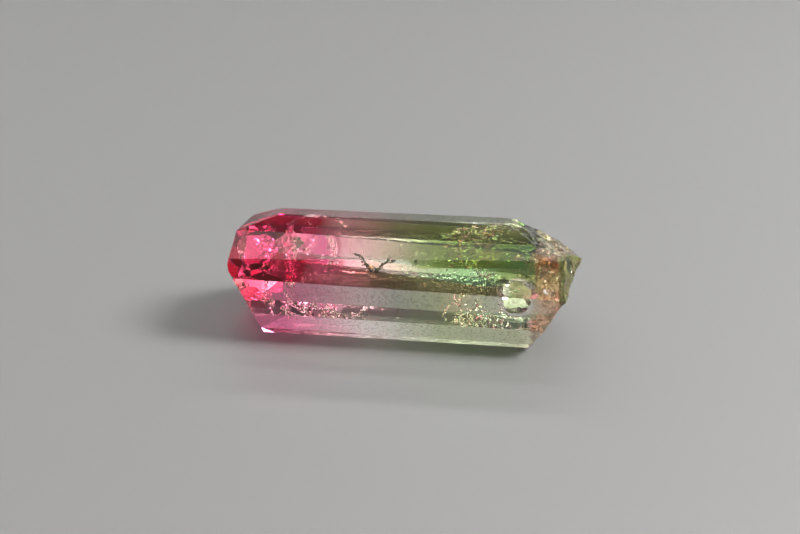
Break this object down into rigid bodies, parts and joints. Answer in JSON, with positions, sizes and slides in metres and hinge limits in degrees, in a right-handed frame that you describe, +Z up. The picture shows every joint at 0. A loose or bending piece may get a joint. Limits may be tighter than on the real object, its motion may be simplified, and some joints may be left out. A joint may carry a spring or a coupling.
{
  "type": "watermelon tourmaline crystal",
  "caption": "Long clear tourmaline crystal, pink at one end and green at the other, with polished long facets, a faceted pink end and a rough etched green end.",
  "frame": {"origin": "on the resting facet, under the middle of the crystal's box", "axes": "+X along the length from the pink end to the green end, +Y to the back, +Z up"},
  "size_m": [0.0298, 0.012, 0.0103],
  "materials": {
    "watermelon_tourmaline": "clear polished stone, pink to green along its length, with healed cracks inside and a rough etched green end"
  },
  "bodies": {
    "root": {"tourmaline_crystal": "watermelon_tourmaline"}
  },
  "joints": []
}
